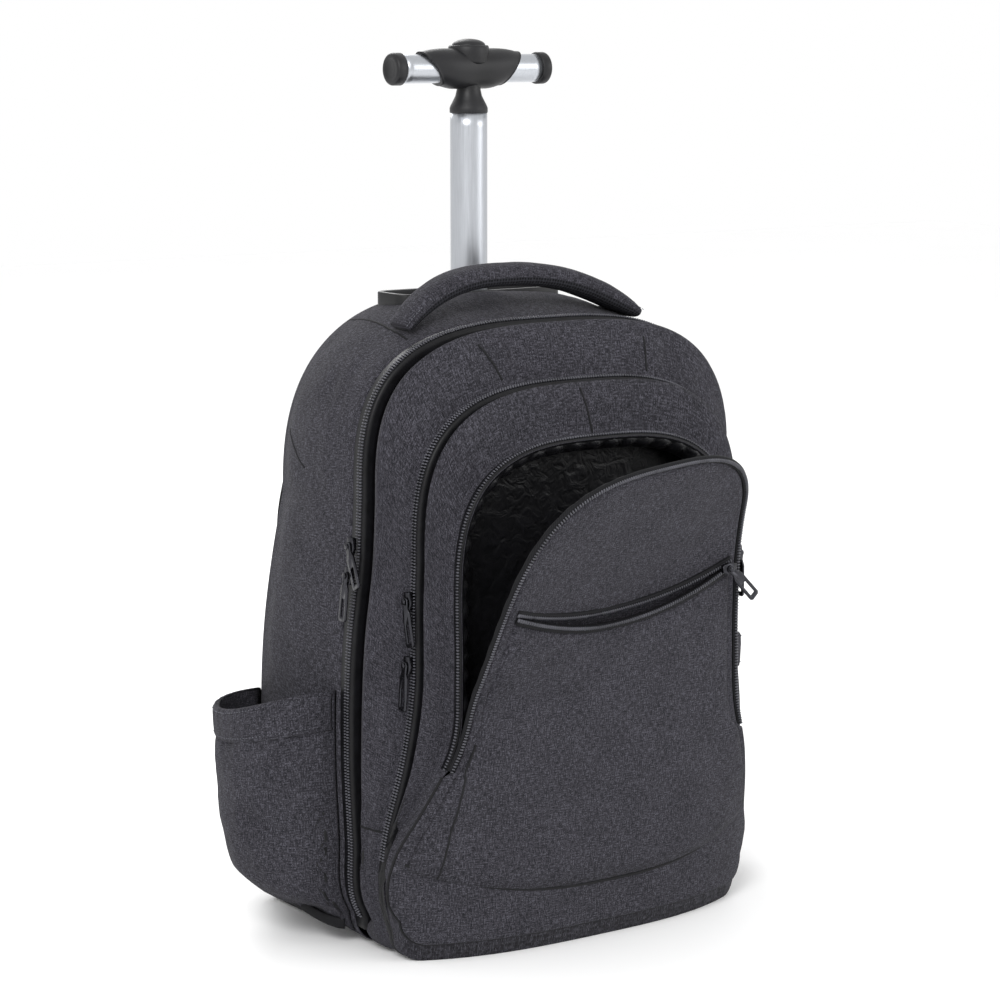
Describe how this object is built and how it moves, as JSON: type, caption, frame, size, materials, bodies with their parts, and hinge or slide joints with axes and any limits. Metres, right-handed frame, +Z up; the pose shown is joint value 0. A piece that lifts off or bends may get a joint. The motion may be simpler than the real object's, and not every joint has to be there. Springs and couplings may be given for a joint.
{
  "type": "wheeled backpack",
  "caption": "Padded backpack on wheels with a raised trolley handle, zipped compartments, open front flap, side pockets and shoulder straps.",
  "frame": {"origin": "middle of the overall box on the floor that the bag stands on", "axes": "+Z up, +X across the bag, +Y from the front panel towards the back that is worn"},
  "size_m": [0.4686, 0.3592, 0.677],
  "materials": {
    "heather_fabric": "matt heather weave",
    "black_tape": "woven tape",
    "mesh_padding": "spacer mesh over foam",
    "moulded_plastic": "fine moulded texture",
    "wheel_rubber": "matt",
    "satin_aluminium": "satin",
    "black_metal": "black plating"
  },
  "bodies": {
    "root": {"rear_shell": "heather_fabric", "middle_shell": "heather_fabric", "front_shell": "heather_fabric", "front_panel": "heather_fabric", "slip_pocket": "heather_fabric", "side_pocket_left": "heather_fabric", "side_pocket_right": "heather_fabric", "grab_handle": "heather_fabric", "zip_1": "black_tape", "zip_2": "black_tape", "zip_3_body": "black_tape", "zip_3_flap": "black_tape", "slip_zip_lower": "black_tape", "slip_zip_upper": "black_tape", "piping": "black_tape", "webbing_left": "black_tape", "webbing_right": "black_tape", "back_panel": "mesh_padding", "shoulder_strap_left": "mesh_padding", "shoulder_strap_right": "mesh_padding", "handle_tray": "moulded_plastic", "base_moulding": "moulded_plastic", "adjuster_left": "moulded_plastic", "adjuster_right": "moulded_plastic", "trolley_sleeve": "satin_aluminium", "axle_left": "satin_aluminium", "axle_right": "satin_aluminium", "slider_1_upper": "black_metal", "slider_1_lower": "black_metal", "slider_2_upper": "black_metal", "slider_2_lower": "black_metal", "slider_3": "black_metal", "slider_slip": "black_metal"},
    "trolley": {"trolley_pole": "satin_aluminium", "handle_grip": "moulded_plastic", "cross_bar": "satin_aluminium", "bar_cap_left": "moulded_plastic", "bar_cap_right": "moulded_plastic"},
    "button": {"push_button": "moulded_plastic"},
    "wheel_left": {"wheel_left": "wheel_rubber"},
    "wheel_right": {"wheel_right": "wheel_rubber"},
    "tab_1_upper": {"pull_1_upper": "black_metal"},
    "tab_1_lower": {"pull_1_lower": "black_metal"},
    "tab_2_upper": {"pull_2_upper": "black_metal"},
    "tab_2_lower": {"pull_2_lower": "black_metal"},
    "tab_3": {"pull_3": "black_metal"},
    "tab_slip": {"pull_slip": "black_metal"}
  },
  "joints": [
    {"name": "trolley_slide", "type": "slide", "parent": "root", "child": "trolley", "axis": [0, 0, 1], "range_m": [-0.155, 0.18]},
    {"name": "button_press", "type": "slide", "parent": "trolley", "child": "button", "axis": [0, 0, 1], "range_m": [-0.003, 0], "stiffness_N_per_m": 600},
    {"name": "wheel_left_spin", "type": "hinge", "parent": "root", "child": "wheel_left", "pos_m": [-0.1348, 0.11756, 0.028], "axis": [1, 0, 0], "continuous": true},
    {"name": "wheel_right_spin", "type": "hinge", "parent": "root", "child": "wheel_right", "pos_m": [0.1348, 0.11756, 0.028], "axis": [1, 0, 0], "continuous": true},
    {"name": "tab_1_upper_swing", "type": "hinge", "parent": "root", "child": "tab_1_upper", "pos_m": [-0.16893, -0.01644, 0.30814], "axis": [-0.9954, 0, 0.0954], "range_deg": [0, 50]},
    {"name": "tab_1_lower_swing", "type": "hinge", "parent": "root", "child": "tab_1_lower", "pos_m": [-0.17104, -0.01644, 0.28614], "axis": [-0.9954, 0, 0.0954], "range_deg": [-50, 0]},
    {"name": "tab_2_upper_swing", "type": "hinge", "parent": "root", "child": "tab_2_upper", "pos_m": [-0.14796, -0.06144, 0.27203], "axis": [-0.9999, 0, 0.0169], "range_deg": [-12, 45]},
    {"name": "tab_2_lower_swing", "type": "hinge", "parent": "root", "child": "tab_2_lower", "pos_m": [-0.14878, -0.06144, 0.2241], "axis": [-0.998, 0, 0.0634], "range_deg": [0, 45]},
    {"name": "tab_3_swing", "type": "hinge", "parent": "root", "child": "tab_3", "pos_m": [0.12964, -0.09444, 0.284], "axis": [1, 0, 0], "range_deg": [-20, 5]},
    {"name": "tab_slip_swing", "type": "hinge", "parent": "root", "child": "tab_slip", "pos_m": [0.1103, -0.10871, 0.2765], "axis": [0, -1, 0], "range_deg": [-45, 40]}
  ]
}
